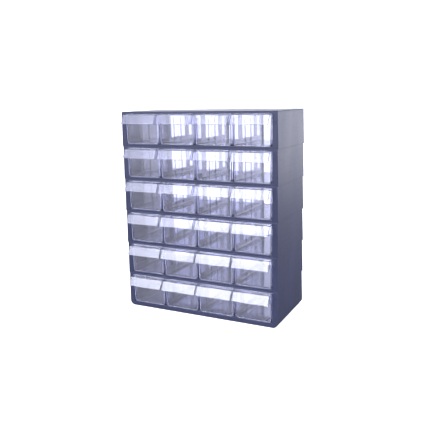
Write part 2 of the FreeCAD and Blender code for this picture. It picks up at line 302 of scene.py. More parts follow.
def bent_plate(path: Array, wall: float, bends: list[float], steps: int = 4) -> Array:
    """Outline of a plate of even wall, bent with round corners and round ends.

    The middle line is the path with each inner corner replaced by an arc; the outline is the
    middle line plus and minus half the wall along its normal, joined by half circles.

    Args:
        path: Array (n, 2), the corners of the plate's middle line.
        wall: Thickness of the plate.
        bends: Arc radius at each inner corner.
        steps: Steps in each arc.

    Returns:
        Closed outline, array (m, 2).
    """
    middle = [path[0][None]]
    for corner, bend in zip(range(1, len(path) - 1), bends):
        back = path[corner - 1] - path[corner]
        on = path[corner + 1] - path[corner]
        back, on = back / np.linalg.norm(back), on / np.linalg.norm(on)
        half = math.acos(float(np.clip(back @ on, -1, 1))) / 2
        run = bend / math.tan(half)
        share = np.linspace(0, 1, steps + 1)[:, None]
        start, end = path[corner] + back * run, path[corner] + on * run
        centre = path[corner] + (back + on) / np.linalg.norm(back + on) * bend / math.sin(half)
        chord = start + (end - start) * share - centre
        middle.append(centre + chord / np.linalg.norm(chord, axis=1)[:, None] * bend)
    middle.append(path[-1][None])
    line = np.concatenate(middle)
    along = np.gradient(line, axis=0)
    along /= np.linalg.norm(along, axis=1)[:, None]
    normal = np.stack([-along[:, 1], along[:, 0]], axis=1)
    turn = np.linspace(-QUARTER, QUARTER, steps + 1)[1:-1, None]
    half_wall = wall / 2
    end_cap = line[-1] + half_wall * (np.cos(turn) * along[-1] + np.sin(turn) * normal[-1])
    start_cap = line[0] - half_wall * (np.cos(turn) * along[0] + np.sin(turn) * normal[0])
    return np.concatenate([line - half_wall * normal, end_cap,
                           (line + half_wall * normal)[::-1], start_cap])


@dataclass
class WindowedPlate:
    """A flat plate with one row of round-cornered windows, every visible edge rounded.

    The plate lies in a plane (u, w) and is thick along h. It is split into one tile per
    window; on a tile the grid runs from the tile's border to the window and down its wall, so
    that a point is face point, then window outline grown by edge * (1 - sin a) at depth
    edge * (1 - cos a). Tiles share their border points and are welded.

    Attributes:
        bounds: Plate's u0, u1, w0, w1.
        windows: Each window's u0, u1.
        window_w: The windows' w0, w1.
        thickness: Plate's thickness.
        edge: Radius of the rounded edges.
        corner: Radius of the windows' corners.
        foot_round: Radius of the plate's two lower corners.
        round_rim_back: Round the border's back edge too.
        steps: Steps in each quarter circle.
    """

    bounds: tuple[float, float, float, float]
    windows: list[Pair]
    window_w: Pair
    thickness: float
    edge: float = 0.5
    corner: float = 1.0
    foot_round: float = 0.0
    round_rim_back: bool = True
    steps: int = 3

    def _borders(self) -> list[float]:
        """Places along u where one tile ends and the next begins."""
        gaps = zip(self.windows, self.windows[1:])
        inner = [(left[1] + right[0]) / 2 for left, right in gaps]
        return [self.bounds[0]] + inner + [self.bounds[1]]

    @staticmethod
    def _corners(u: Pair, w: Pair, inset: float = 0.0) -> list[Pair]:
        """A rectangle's corners, drawn in, anticlockwise from the lower right."""
        (u0, u1), (w0, w1) = (u[0] + inset, u[1] - inset), (w[0] + inset, w[1] - inset)
        return [(u1, w0), (u1, w1), (u0, w1), (u0, w0)]

    def _hole(self, window: Pair, grow: float) -> Array:
        """The window's rounded outline, grown outward, anticlockwise from its lower right.

        Args:
            window: The window's u0, u1.
            grow: How far the outline is grown.

        Returns:
            Array (n, 2).
        """
        turn = arc_angles(2 * self.steps)
        radius = self.corner + grow
        loops = []
        for quarter, (cu, cw) in enumerate(self._corners(window, self.window_w, self.corner)):
            angle = turn + (quarter - 1) * QUARTER
            loops.append(np.stack([cu + radius * np.cos(angle), cw + radius * np.sin(angle)], -1))
        return np.concatenate(loops)

    def _border_loop(self, tile: Pair, window: Pair) -> Array:
        """The tile's border, point for point with the hole's outline.

        Args:
            tile: The tile's u0, u1.
            window: Its window's u0, u1.

        Returns:
            Array (n, 2).
        """
        half = self.steps
        share = np.linspace(0, 1, half + 1)
        inner = self._corners(window, self.window_w, self.corner)
        outer = self._corners(tile, self.bounds[2:])
        loops = []
        for quarter, ((cu, cw), (tu, tw)) in enumerate(zip(inner, outer)):
            on_edge = abs(tu - self.bounds[0]) < WELD or abs(tu - self.bounds[1]) < WELD
            if self.foot_round > 0 and quarter in (0, 3) and on_edge:
                rr = self.foot_round
                angle = arc_angles(2 * half) + (quarter - 1) * QUARTER
                side = 1 if quarter == 0 else -1
                loop = np.stack([tu - side * rr + rr * np.cos(angle),
                                 tw + rr + rr * np.sin(angle)], -1)
            else:
                first = np.stack([cu + (tu - cu) * share, np.full(half + 1, tw)], -1)
                last = np.stack([np.full(half, tu), tw + (cw - tw) * share[1:]], -1)
                loop = np.concatenate([first, last])[::-1 if quarter % 2 else 1]
            loops.append(loop)
        return np.concatenate(loops)

    def _outward(self, loop: Array) -> Array:
        """Unit steps out of the plate at its own rim, mitred at corners, zero elsewhere.

        Args:
            loop: Points of a tile's border, array (n, 2).

        Returns:
            Array (n, 2).
        """
        low, high = np.array(self.bounds).reshape(2, 2).T
        out = (np.abs(loop - high) < WELD).astype(float) - (np.abs(loop - low) < WELD)
        u0, u1, w0 = self.bounds[:3]
        rr = self.foot_round
        if rr > 0:
            for side, u in ((-1, u0), (1, u1)):
                centre = np.array([u - side * rr, w0 + rr])
                ray = loop - centre
                near = (side * ray[:, 0] > -WELD) & (ray[:, 1] < WELD)
                near &= np.abs(np.linalg.norm(ray, axis=1) - rr) < NEAR
                out[near] = ray[near] / rr
        return out

    def add_to(self, mesh: ClosedMesh, place: Place) -> None:
        """Add the plate's surfaces to a mesh.

        Args:
            mesh: The mesh that takes them.
            place: Function from an array (..., 3) of (u, w, h) to positions (..., 3).
        """
        turn = arc_angles(self.steps)
        inset = self.edge * (1 - np.sin(turn))
        depth = self.edge * (1 - np.cos(turn))
        t = self.thickness
        borders = self._borders()
        for window, tile in zip(self.windows, zip(borders, borders[1:])):
            loop = self._border_loop(tile, window)
            out = self._outward(loop)
            face = loop - self.edge * out
            back = face if self.round_rim_back else loop
            rows = [(face, 0.0)]
            rows += [(self._hole(window, grow), down) for grow, down in zip(inset, depth)]
            rows += [(self._hole(window, grow), t - down)
                     for grow, down in zip(inset[::-1], depth[::-1])]
            rows.append((back, t))
            mesh.add_grid(place(at_depth(rows)), caps=False)
            rim = [(loop - shift * out, down) for shift, down in zip(inset, depth)]
            if self.round_rim_back:
                rim += [(loop - shift * out, t - down)
                        for shift, down in zip(inset[::-1], depth[::-1])]
            else:
                rim.append((loop, t))
            rim_grid = at_depth(rim)
            for columns in self._rim_runs(loop):
                mesh.add_grid(place(rim_grid[:, columns]), caps=False, wrap=False)

    def _rim_runs(self, loop: Array) -> list[Array]:
        """Runs of neighbouring border points whose segments lie on the plate's own rim."""
        following = np.roll(loop, -1, axis=0)
        shared = np.zeros(len(loop), bool)
        for u in self._borders()[1:-1]:
            shared |= (np.abs(loop[:, 0] - u) < WELD) & (np.abs(following[:, 0] - u) < WELD)
        return [np.array([index, (index + 1) % len(loop)]) for index in np.flatnonzero(~shared)]


# ---------------------------------------------------------------- shared surface effects
class NodeMaker:
    """Adds shader nodes to a tree and links them, left to right."""

    def __init__(self, tree: Tree) -> None:
        """Keep and empty the tree that nodes are added to."""
        self.tree = tree
        self.column = 0
        tree.nodes.clear()

    def add(self, kind: str, feeds: dict | None = None, **settings) -> bpy.types.Node:
        """Add one node.

        Args:
            kind: The node's type name, without its ShaderNode prefix.
            feeds: Input name or number to the socket that feeds it or the constant it holds.
            settings: Properties of the node, such as operation.

        Returns:
            The node.
        """
        node = self.tree.nodes.new("ShaderNode" + kind)
        self.column += 1
        node.location = (180 * self.column, -120 * (self.column % 4))
        for name, value in settings.items():
            setattr(node, name, value)
        for name, value in (feeds or {}).items():
            if isinstance(value, Socket):
                self.tree.links.new(value, node.inputs[name])
            else:
                node.inputs[name].default_value = value
        return node

    def calc(self, operation: str, *terms: Socket | float) -> Socket:
        """Add a Math node on sockets or constants, in order, and give its result."""
        return self.add("Math", dict(enumerate(terms)), operation=operation).outputs[0]

    def scaled(self, colour: tuple, factor: Socket) -> Socket:
        """Add a plain colour times a factor and give the result."""
        return self.add("VectorMath", {0: colour[:3], "Scale": factor},
                        operation="SCALE").outputs[0]

    def mixed(self, factor: Socket, base: Socket | Colour, over: Colour) -> Socket:
        """Add a mix of two colours, base at 0 and over at 1, and give the result."""
        return self.add("Mix", {"Factor": factor, 6: base, 7: over},
                        data_type="RGBA").outputs[2]

    def mapped(self, value: Socket, source: Pair, target: Pair = (0.0, 1.0),
               smooth: bool = False) -> Socket:
        """Add a change of one range into another.

        Args:
            value: Socket with the value.
            source: Range that it is read from; it is held within it.
            target: Range that it is given in.
            smooth: Ease in and out.

        Returns:
            Socket with the result.
        """
        feeds = {"Value": value, "From Min": source[0], "From Max": source[1],
                 "To Min": target[0], "To Max": target[1]}
        kind = "SMOOTHSTEP" if smooth else "LINEAR"
        return self.add("MapRange", feeds, interpolation_type=kind).outputs[0]

    def noise(self, place: Socket, scale: Socket | float, detail: float,
              roughness: float = 0.5, distortion: float = 0.0) -> Socket:
        """Add cloudy noise.

        Args:
            place: Socket with the coordinates.
            scale: How many patches there are to a metre.
            detail: Number of finer layers.
            roughness: Strength of the finer layers.
            distortion: How much the pattern is twisted.

        Returns:
            Socket with the noise, from 0 to 1.
        """
        return self.add("TexNoise", {"Vector": place, "Scale": scale, "Detail": detail,
                                     "Roughness": roughness,
                                     "Distortion": distortion}).outputs[0]


def effect_group(name: str, inputs: dict[str, float], outputs: list[str]) -> tuple:
    """Start a node group with float inputs and outputs.

    Args:
        name: The group's name.
        inputs: Input name to its default.
        outputs: Output names.

    Returns:
        The group's node maker, its input node's sockets and its output node's sockets.
    """
    group = bpy.data.node_groups.new(name, "ShaderNodeTree")
    for label, default in inputs.items():
        socket = group.interface.new_socket(label, in_out="INPUT", socket_type="NodeSocketFloat")
        socket.default_value = default
    for label in outputs:
        group.interface.new_socket(label, in_out="OUTPUT", socket_type="NodeSocketFloat")
    make = NodeMaker(group)
    start, end = (group.nodes.new(kind) for kind in ("NodeGroupInput", "NodeGroupOutput"))
    return make, start.outputs, end.inputs


def moulding_group() -> Tree:
    """Moulded plastic's own unevenness, on object coordinates.

    Grain is fine noise, Flow is broad noise stretched along the height, and Scuffs are thin
    lines where a stretched noise crosses its middle value.

    Returns:
        The group, with outputs Grain, Flow and Scuffs from 0 to 1.
    """
    make, given, result = effect_group(
        "moulded_surface", {"Grain Scale": 2500.0, "Flow Scale": 14.0, "Scuff Scale": 90.0},
        ["Grain", "Flow", "Scuffs"])
    place = make.add("TexCoord").outputs["Object"]
    grain = make.noise(place, given["Grain Scale"], 2.0, 0.55)
    tall = make.add("Mapping", {"Vector": place, "Scale": (1.0, 1.0, 0.35)})
    flow = make.noise(tall.outputs[0], given["Flow Scale"], 4.0, 0.6, 0.4)
    aslant = make.add("Mapping", {"Vector": place, "Rotation": (0.5, 0.9, 0.3),
                                  "Scale": (1.0, 0.08, 1.0)})
    lines = make.noise(aslant.outputs[0], given["Scuff Scale"], 3.0)
    distance = make.calc("ABSOLUTE", make.calc("SUBTRACT", lines, 0.5))
    scuffs = make.mapped(distance, (0.0, 0.012), (1.0, 0.0))
    for label, socket in (("Grain", grain), ("Flow", flow), ("Scuffs", scuffs)):
        make.tree.links.new(socket, result[label])
    return make.tree


def dust_group() -> Tree:
    """Fine dust that settles on faces that look up.

    The mask is the upward part of the normal, raised to a sharp step, times patchy noise.

    Returns:
        The group, with one output Mask from 0 to 1.
    """
    make, given, result = effect_group(
        "settled_dust", {"Amount": 0.3, "Patch Scale": 60.0}, ["Mask"])
    normal = make.add("NewGeometry").outputs["Normal"]
    parts = make.add("SeparateXYZ", {0: normal})
    upward = make.mapped(parts.outputs["Z"], (0.55, 1.0), smooth=True)
    place = make.add("TexCoord").outputs["Object"]
    patches = make.noise(place, given["Patch Scale"], 5.0, 0.7)
    amount = make.calc("MULTIPLY", make.calc("MULTIPLY", upward, patches), given["Amount"])
    make.tree.links.new(amount, result["Mask"])
    return make.tree


def new_material(name: str) -> tuple[Material, NodeMaker]:
    """Start a material without nodes; give it and its node maker."""
    material = bpy.data.materials.new(name)
    material.use_nodes = True
    return material, NodeMaker(material.node_tree)


@dataclass
class Effects:
    """The node groups that more than one finish places."""

    moulding: Tree = field(default_factory=moulding_group)
    dust: Tree = field(default_factory=dust_group)


# ---------------------------------------------------------------- finishes
@dataclass(frozen=True)
class HousingFinish:
    """Dark slate-violet moulded plastic with a satin skin, fine grain and paler edges that are
    partly rubbed wear and partly a painted edge highlight.

    Attributes:
        colour: Base colour, linear.
        worn_and_sheen: Colour of the paler edges, rubbed wear together with a painted edge
            highlight.
        dusty: Colour of settled dust.
        dust_amount: How much dust lies on upward faces.
        roughness: Least and greatest roughness of the skin.
        scuff_depth: Roughness that a scuff adds.
        grain_height: Height of the grain, metres.
        edge_radius: How far from an edge it is paled by wear and painted highlight, metres.
    """

    colour: Colour = (0.019, 0.023, 0.062, 1.0)
    worn_and_sheen: Colour = (0.09, 0.10, 0.19, 1.0)
    dusty: Colour = (0.36, 0.35, 0.37, 1.0)
    dust_amount: float = 0.22
    roughness: Pair = (0.26, 0.40)
    scuff_depth: float = 0.06
    grain_height: float = 0.00004
    edge_radius: float = 0.0007

    def build(self, effects: Effects) -> Material:
        """Make the material.

        Args:
            effects: The shared node groups.

        Returns:
            The material.
        """
        material, make = new_material("housing_plastic")
        skin = make.add("Group", node_tree=effects.moulding).outputs
        dust = make.add("Group", {"Amount": self.dust_amount}, node_tree=effects.dust)
        soft = make.add("Bevel", {"Radius": self.edge_radius}, samples=4)
        plain = make.add("NewGeometry")
        match = make.add("VectorMath", {0: soft.outputs[0], 1: plain.outputs["Normal"]},
                         operation="DOT_PRODUCT")
        # Paler colour along every edge, convex and concave alike: partly rubbed wear, partly a
        # painted edge highlight.
        edge = make.mapped(match.outputs["Value"], (0.995, 0.80))
        wear_and_sheen_mask = make.calc("MULTIPLY", edge, skin["Flow"])
        base = make.scaled(self.colour, make.mapped(skin["Flow"], (0.3, 0.7), (0.88, 1.12)))
        worn_and_sheen = make.mixed(wear_and_sheen_mask, base, self.worn_and_sheen)
        dusted = make.mixed(dust.outputs["Mask"], worn_and_sheen, self.dusty)
        rough = make.mapped(skin["Flow"], (0.25, 0.75), self.roughness)
        scuffed = make.calc("MULTIPLY_ADD", skin["Scuffs"], self.scuff_depth, rough)
        bump = make.add("Bump", {"Height": skin["Grain"], "Strength": 0.35,
                                 "Distance": self.grain_height})
        shader = make.add("BsdfPrincipled", {"Base Color": dusted, "Roughness": scuffed,
                                             "Normal": bump.outputs[0], "IOR": 1.49})
        make.add("OutputMaterial", {"Surface": shader.outputs[0]})
        return material


@dataclass(frozen=True)
class ClearFinish:
    """Clear glossy polystyrene: a faint lilac tint, flow ripples and hairline scuffs.

    Lamps' rays pass it as a plain tinted pane, so that they light what the drawers hold.

    Attributes:
        name: The material's name.
        clarity: Share of light that passes; the rest is scattered, as in a milky edge.
        tint: Colour of what passes through, linear.
        pane: What it lets through of a lamp's light.
        roughness: Least and greatest roughness of the skin.
        scuff_depth: Roughness that a scuff adds.
        ripple: Height of the moulding's flow ripples, metres.
    """

    name: str = "clear_plastic"
    clarity: float = 0.98
    tint: Colour = (0.875, 0.88, 0.985, 1.0)
    pane: Colour = (0.86, 0.86, 0.92, 1.0)
    roughness: Pair = (0.02, 0.09)
    scuff_depth: float = 0.10
    ripple: float = 0.00012

    def build(self, effects: Effects) -> Material:
        """Make the material.

        Args:
            effects: The shared node groups.

        Returns:
            The material.
        """
        material, make = new_material(self.name)
        skin = make.add("Group", {"Flow Scale": 26.0, "Scuff Scale": 150.0},
                        node_tree=effects.moulding).outputs
        rough = make.mapped(skin["Flow"], (0.3, 0.7), self.roughness)
        scuffed = make.calc("MULTIPLY_ADD", skin["Scuffs"], self.scuff_depth, rough)
        bump = make.add("Bump", {"Height": skin["Flow"], "Strength": 0.25,
                                 "Distance": self.ripple})
        tint = make.scaled(self.tint, make.mapped(skin["Flow"], (0.3, 0.7), (0.97, 1.02)))
        glass = make.add("BsdfPrincipled", {"Base Color": tint, "Roughness": scuffed,
                                            "Normal": bump.outputs[0], "IOR": 1.45,
                                            "Transmission Weight": self.clarity})
        pane = make.add("BsdfTransparent", {"Color": self.pane})
        path = make.add("LightPath")
        both = make.add("MixShader", {0: path.outputs["Is Shadow Ray"], 1: glass.outputs[0],
                                      2: pane.outputs[0]})
        make.add("OutputMaterial", {"Surface": both.outputs[0]})
        return material


@dataclass(frozen=True)
class FloorFinish:
    """Plain pale floor with a hint of unevenness."""

    colour: Triple = (0.93, 0.93, 0.94)
    glow: float = 0.6

    def build(self) -> Material:
        """Make the floor's material.

        Returns:
            The material.
        """
        material, make = new_material("pale_floor")
        cloud = make.noise(make.add("TexCoord").outputs["Object"], 1.5, 3.0)
        colour = make.scaled(self.colour, make.mapped(cloud, (0.0, 1.0), (0.985, 1.0)))
        shader = make.add("BsdfPrincipled",
                          {"Base Color": colour, "Roughness": 0.9, "Specular IOR Level": 0.1,
                           "Emission Color": WHITE, "Emission Strength": self.glow})
        make.add("OutputMaterial", {"Surface": shader.outputs[0]})
        return material


# ---------------------------------------------------------------- cabinet
@dataclass(frozen=True)
class CabinetSizes:
    """Sizes that the tiers and the cover share, from the cabinet's face and a tier's foot.

    Lengths are in millimetres. Flare is how far a side leans in towards the rim, inset how far
    inner parts start behind the faces, and hair the gap that keeps faces from coinciding.
    """

    columns: int = 4
    cell: float = 70.0
    partition: float = 2.0
    sill: float = 4.0
    mouth_height: float = 53.0
    tier_height: float = 61.5
    stile: float = 11.0
    depth: float = 140.0
    flare: float = 1.3
    wall: float = 2.0
    floor: float = 2.0
    front_plate: float = 3.0
    bar_setback: float = 2.02
    back_plate: float = 2.5
    guide_height: float = 15.0
    post_setback: float = 12.0
    post_radius: float = 3.15
    peg_radius: float = 1.6
    peg_length: float = 3.0
    peg_clearance: float = 0.15
    back_lean: float = 18.0
    inset: float = 1.5
    hair: float = 0.02

    @property
    def pitch(self) -> float:
        """Distance between the middles of two neighbouring cells."""
        return self.cell + self.partition

    @property
    def mouths_half(self) -> float:
        """Half of the width over all the mouths."""
        return self.columns * self.pitch / 2 - self.partition / 2

    @property
    def half_foot(self) -> float:
        """Half width of a tier at its foot."""
        return self.mouths_half + self.stile

    @property
    def half_rim(self) -> float:
        """Half width of a tier at its rim."""
        return self.half_foot - self.flare

    @property
    def post_x(self) -> float:
        """Distance of the post axes from the middle, halfway between guide and side wall."""
        return (self.mouths_half + self.partition + self.half_rim - self.wall) / 2

    def cell_middles(self) -> Array:
        """Middle of each cell along x."""
        return (np.arange(self.columns) - (self.columns - 1) / 2) * self.pitch

    def partition_middles(self) -> Array:
        """Middle of each partition along x."""
        return (np.arange(self.columns - 1) - (self.columns - 2) / 2) * self.pitch

    def posts(self) -> list[Pair]:
        """Axis of each corner post."""
        places = (self.post_setback, self.depth - self.post_setback)
        return [(side * self.post_x, y) for side in (-1, 1) for y in places]

    def leaned(self, points: Array) -> Array:
        """Lean the side and back walls inward towards the rim.

        With k = z / tier height, points move in by flare * k * share, where the share grows
        from 0 at the mouths' edge, or back_lean before the back face, to 1 at the outer face.

        Args:
            points: Array (n, 3) from the tier's foot.

        Returns:
            The leaned points.
        """
        out = points.copy()
        rise = np.clip(points[:, 2] / self.tier_height, 0, 1)
        side = np.clip((np.abs(points[:, 0]) - self.mouths_half) / self.stile, 0, 1)
        back = np.clip((points[:, 1] - (self.depth - self.back_lean)) / self.back_lean, 0, 1)
        out[:, 0] -= np.sign(points[:, 0]) * self.flare * rise * side
        out[:, 1] -= self.flare * rise * back
        return out


@dataclass
class HousingTier:
    """One moulded tier: front and back frames, walls, floor, lattices, runners and posts.

    Attributes:
        number: Its place from the bottom, from 1.
        highest: Whether the cover lies on it.
        finish: The housing plastic.
        sizes: Sizes shared with the other tiers.
        skirt: Depth of the lowest tier below its floor.
        skirt_round: Round along the lowest tier's bottom side edges.
        edge: Round of the frames' and guides' edges.
        wall_end: Distance of the side walls' ends from the faces, inside the frames.
        wall_edge: Round of the side walls' upper edges.
        lattice_windows: The partitions' windows along y.
        lattice_heights: The partitions' windows along z.
        rear_half: Half width of the back frame's windows.
        rear_top: Upper edge of the back frame's windows.
        runner: Half width and height of a runner, and its distance from the cell's middle.
        under_border: Width of the border under the lowest tier.
        under_depth: Depth of the hollows there.
        under_rib: Half width of the ribs there.
        cross_rib: How far the cross rib stands in front of the middle.
        mesh: Where its surfaces are gathered.
    """

    number: int
    highest: bool
    finish: Material
    sizes: CabinetSizes = field(default_factory=CabinetSizes)
    skirt: float = 4.5
    skirt_round: float = 10.0
    edge: float = 0.5
    wall_end: float = 0.55
    wall_edge: float = 0.4
    lattice_windows: tuple = ((5.0, 24.0), (40.0, 94.0), (108.0, 122.0))
    lattice_heights: Pair = (15.0, 55.0)
    rear_half: float = 33.0
    rear_top: float = 56.5
    runner: Triple = (1.25, 4.3, 21.0)
    under_border: float = 12.0
    under_depth: float = 3.1
    under_rib: float = 2.0
    cross_rib: float = 9.2
    mesh: ClosedMesh = field(default_factory=ClosedMesh)

    @property
    def lowest(self) -> bool:
        """Whether this is the tier that stands on the table."""
        return self.number == 1

    def _frames(self) -> None:
        """Front frame round all the mouths, and back frame with its openings."""
        s, mesh = self.sizes, self.mesh
        half = s.half_foot - s.hair
        foot = -self.skirt + s.hair if self.lowest else 0.0
        rounding = self.skirt_round if self.lowest else 0.0
        mouths = s.mouths_half + s.hair
        front = WindowedPlate((-half, half, foot, s.tier_height), [(-mouths, mouths)],
                              (s.sill, s.sill + s.mouth_height), s.front_plate, self.edge,
                              corner=1.1, foot_round=rounding, round_rim_back=False)
        back = WindowedPlate((-half, half, foot, s.tier_height),
                             [(x - self.rear_half, x + self.rear_half)
                              for x in s.cell_middles()],
                             (s.sill, self.rear_top), s.back_plate, self.edge, corner=2.0,
                             foot_round=rounding, round_rim_back=False)
        front.add_to(mesh, lambda p: p[..., [0, 2, 1]])
        back.add_to(mesh, lambda p: p[..., [0, 2, 1]] * (1, -1, 1) + (0, s.depth, 0))

    def _walls(self) -> None:
        """Side walls; the lowest tier's turn under along a rounded bottom edge."""
        s, mesh = self.sizes, self.mesh
        inner, outer = s.half_foot - s.wall, s.half_foot
        start, end = self.wall_end, s.depth - self.wall_end
        r, top = self.skirt_round, self.wall_edge
        turn, ease = -arc_angles(12), arc_angles(3)[::-1]
        tuck, foot = outer - r - 0.6, s.floor - 0.1
        arc = np.column_stack([outer - r + r * np.cos(turn), r - self.skirt + r * np.sin(turn)])
        rim = np.column_stack([outer - top + top * np.cos(ease),
                               s.tier_height - top + top * np.sin(ease)])
        outline = np.concatenate([[[inner, s.tier_height]], rim, arc,
                                  [[tuck, -self.skirt], [tuck, foot], [inner, foot]]])
        for side in (-1, 1):
            if self.lowest:
                mesh.add_grid(outline_along(outline * (side, 1), start, end, axis=1))
            else:
                low, high = sorted((side * inner, side * outer))
                mesh.add_grid(rounded_bar((low, start, 0.0), (high, end, s.tier_height),
                                          edge=top, corner=0.05))

    def _floor(self) -> None:
        """Floor slab; above the lowest tier it has side strips with round peg holes."""
        s, mesh = self.sizes, self.mesh
        front, back = s.inset, s.depth - s.inset
        if self.lowest:
            reach = s.half_foot - 4.0
            mesh.add_grid(rounded_bar((-reach, front, -1.6), (reach, back, s.floor)))
            self._underside()
            return
        reach = s.mouths_half + 1.0
        mesh.add_grid(rounded_bar((-reach, front, 0.04), (reach, back, s.floor), 0.2))
        hole = s.peg_radius + s.peg_clearance
        setback = s.post_setback
        strip = WindowedPlate((front, back, reach - 0.4, s.half_foot - 1.0),
                              [(y - hole, y + hole) for y in (setback, s.depth - setback)],
                              (s.post_x - hole, s.post_x + hole), s.floor - 0.1, edge=0.15,
                              corner=hole - 0.005)
        for side in (-1, 1):
            strip.add_to(mesh, lambda p: p[..., [1, 0, 2]] * (side, 1, 1) + (0, 0, 0.06))

    def _underside(self) -> None:
        """Border and ribs under the lowest tier, round its hollows."""
        s, mesh = self.sizes, self.mesh
        border, rib = self.under_border, self.under_rib
        edges = [-s.half_foot + border]
        edges += [x + d for x in s.partition_middles() for d in (-rib, rib)]
        edges.append(s.half_foot - border)
        reach = s.half_foot - self.skirt_round
        plate = WindowedPlate((-reach, reach, 0.6, s.depth - 0.6),
                              list(zip(edges[::2], edges[1::2])), (border, s.depth - border),
                              self.under_depth, edge=0.3, corner=2.0)
        plate.add_to(mesh, lambda p: p + (0, 0, -self.skirt))
        middle, reach = s.depth / 2 - self.cross_rib, s.half_foot - border + 1.0
        mesh.add_grid(rounded_bar((-reach, middle - rib, -self.skirt + s.hair),
                                  (reach, middle + rib, -1.5)))

    def _inside(self) -> None:
        """Lattice partitions, whose front edges part the mouths, low guides and runners."""
        s, mesh = self.sizes, self.mesh
        lattice = WindowedPlate((s.bar_setback, s.depth - 0.9, 0.05, s.tier_height - 0.05),
                                list(self.lattice_windows), self.lattice_heights,
                                s.partition, edge=0.4, corner=1.6)
        for x in s.partition_middles():
            shift = np.array([x - s.partition / 2, 0, 0])
            lattice.add_to(mesh, lambda p: p[..., [2, 0, 1]] + shift)
        end = s.depth - 1.3
        for side in (-1, 1):
            low, high = sorted((side * s.mouths_half, side * (s.mouths_half + s.partition)))
            mesh.add_grid(rounded_bar((low, 0.9, 0.06), (high, end, s.guide_height),
                                      self.edge, corner=0.1))
        half, height, reach = self.runner
        for x in np.concatenate([s.cell_middles() - reach, s.cell_middles() + reach]):
            mesh.add_grid(rounded_bar((x - half, s.inset, 0.5), (x + half, end, height),
                                      self.edge, corner=0.2))

    def _posts(self) -> None:
        """Corner posts: a socket below, and a peg above or, on the highest tier, a well."""
        s, mesh = self.sizes, self.mesh
        hole, deep = s.peg_radius + s.peg_clearance, s.peg_length + 0.5
        foot = [(s.post_radius, 1.0)]
        if not self.lowest:
            foot = [(hole, deep), (hole, 0.1), (s.post_radius, 0.1)]
        top = s.tier_height
        if self.highest:
            head = [(s.post_radius, top), (hole, top), (hole, top - deep)]
        else:
            head = [(s.post_radius, top), (s.peg_radius, top), (s.peg_radius, top + 2.5),
                    (s.peg_radius - 0.5, top + s.peg_length)]
        for x, y in s.posts():
            mesh.add_grid(turned(foot + head, x, y))

    def build(self) -> Piece:
        """Build the tier in place and bind it to the cabinet.

        Returns:
            The finished piece.
        """
        node = f"tier_{self.number}"
        low = np.array(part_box(node)[0]) / MM
        origin = np.array([0.0, low[1], low[2] + (self.skirt if self.lowest else 0.0)])
        for part in (self._frames, self._walls, self._floor, self._inside, self._posts):
            part()
        data = self.mesh.to_data(f"housing_{node}", origin, self.sizes.leaned)
        data.materials.append(self.finish)
        return bound(shown(data), "cabinet", node)


@dataclass
class TopCover:
    """Flat cover: a plate with a rounded edge, a shallow tray on top and four pegs below.

    Attributes:
        finish: The housing plastic.
        sizes: Sizes shared with the tiers.
        thickness: Thickness of the plate.
        border: Width of the border round the tray.
        recess: Depth of the tray.
        edge: Round of the upper edge.
        ease: Round of the tray's edges and of the lower edge.
    """

    finish: Material
    sizes: CabinetSizes = field(default_factory=CabinetSizes)
    thickness: float = 1.8
    border: float = 7.0
    recess: float = 0.6
    edge: float = 0.8
    ease: float = 0.3

    def build(self) -> Piece:
        """Build the cover in place and bind it to the cabinet.

        The rings run from the underside out to the rim, round its edge by a quarter circle,
        over the border and down into the tray.

        Returns:
            The finished piece.
        """
        s, step, top = self.sizes, self.ease, self.thickness
        turn, ease = arc_angles(5), arc_angles(3)
        inset = np.concatenate([[step, 0.0], self.edge * (1 - np.cos(turn)),
                                self.border + step * np.sin(ease) - step,
                                self.border + step * (1 - np.cos(ease))])
        height = np.concatenate([[0.0, step], top - self.edge + self.edge * np.sin(turn),
                                 top - step * (1 - np.cos(ease)),
                                 top - self.recess + step * (1 - np.sin(ease))])
        plan = ring_rows(s.half_rim - inset, inset, s.depth - s.flare - inset,
                         np.maximum(1.6 - inset, 0.6), 5)
        mesh = ClosedMesh()
        mesh.add_grid(stacked(plan, height))
        for x, y in s.posts():
            mesh.add_grid(turned([(s.peg_radius - 0.5, -s.peg_length),
                                  (s.peg_radius, -s.peg_length + 0.5),
                                  (s.peg_radius, top / 2)], x, y))
        low = np.array(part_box("top_cover")[0]) / MM
        data = mesh.to_data("cover_plate", np.array([0.0, low[1], low[2] + s.peg_length]))
        data.materials.append(self.finish)
        return bound(shown(data), "cabinet", "top_cover")


# ---------------------------------------------------------------- drawers
@dataclass(frozen=True)
class TubStations:
    """Places along a drawer's sides where its section changes, and how much of each feature.

    Attributes:
        places: Distance of each station from the cabinet's face.
        front: Share of the front plate at each station.
        ear: Share of the raised stop ear.
        bead: Share of the bead under the rim.
        rib: Share of a divider rib.
    """

    places: Array
    front: Array
    ear: Array
    bead: Array
    rib: Array

    @classmethod
    def lay_out(cls, rib_middles: tuple, ear: Pair, end: float) -> "TubStations":
        """Work out the stations.

        Each feature's share is known where it starts and ends, and runs straight between.

        Args:
            rib_middles: Middle of each divider rib.
            ear: Front and back of the stop ear.
            end: Last station.

        Returns:
            The stations.
        """
        known = {"front": ([1.95, 2.3], [1, 0]),
                 "ear": ([ear[0], ear[0] + 0.25, ear[1] - 0.25, ear[1]], [0, 1, 1, 0]),
                 "bead": ([2.3, 2.8, ear[0] - 0.3, ear[0], ear[1], ear[1] + 0.3, end - 0.4, end],
                          [0, 1, 1, 0, 0, 1, 1, 0])}
        near = [middle + d for middle in rib_middles for d in (-0.65, -0.4, 0.4, 0.65)]
        known["rib"] = ([0.0] + near, [0] + [0, 1, 1, 0] * len(rib_middles))
        places = sorted({round(x, 4) for xs, _ in known.values() for x in xs if x > 1})
        places = np.array(sorted(places + [20.0, 90.0]))
        shares = {name: np.interp(places, xs, ys) for name, (xs, ys) in known.items()}
        return cls(places, **shares)


